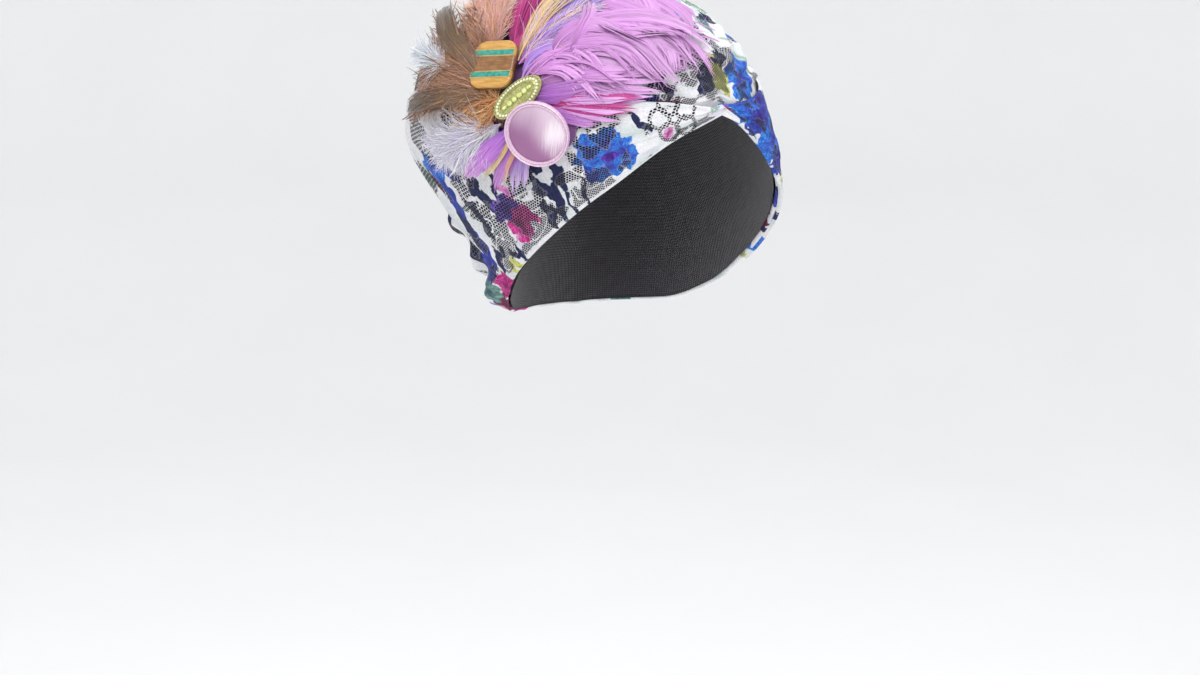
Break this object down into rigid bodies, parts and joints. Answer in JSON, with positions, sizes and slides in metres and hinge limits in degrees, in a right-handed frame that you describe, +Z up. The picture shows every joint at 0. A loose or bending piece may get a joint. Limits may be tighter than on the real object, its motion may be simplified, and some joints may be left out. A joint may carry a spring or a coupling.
{
  "type": "turban beanie with a feather corsage",
  "caption": "Slouchy head-wrap beanie of printed stretch lace with a crossed front, dressed with a corsage of curled feathers and fancy buttons.",
  "frame": {"origin": "middle of the head opening, at the height where the band grips the head", "axes": "+Z up as worn, -Y the way the wearer faces, +X the wearer's left"},
  "size_m": [0.2447, 0.2789, 0.2472],
  "materials": {
    "dark_lining": "matt",
    "crown_lace": "printed stretch lace",
    "wrap_lace": "printed stretch lace",
    "felt": "felt",
    "lavender": "satin feather",
    "violet": "satin feather",
    "magenta": "satin feather",
    "peach": "soft feather",
    "brown": "satin feather",
    "lilac": "down",
    "orchid": "satin feather",
    "amber_tile": "polished",
    "teal_inlay": "polished",
    "pale_gold": "polished",
    "pink_rim": "polished",
    "pink_pearl": "pearly",
    "lime_stone": "cut"
  },
  "bodies": {
    "root": {"lining": "dark_lining", "crown": "crown_lace", "left_wrap": "wrap_lace", "right_wrap": "wrap_lace", "corsage_pad": "felt", "lavender_feathers": "lavender", "violet_feathers": "violet", "magenta_feathers": "magenta", "peach_feathers": "peach", "brown_feathers": "brown", "lilac_feathers": "lilac", "lower_feathers": "orchid", "square_button": "amber_tile", "upper_stripe": "teal_inlay", "lower_stripe": "teal_inlay", "oval_setting": "pale_gold", "round_button_rim": "pink_rim", "round_button_disc": "pink_pearl", "baguette_stone_1": "lime_stone", "baguette_stone_2": "lime_stone", "baguette_stone_3": "lime_stone", "baguette_stone_4": "lime_stone", "baguette_stone_5": "lime_stone", "baguette_stone_6": "lime_stone"}
  },
  "joints": []
}
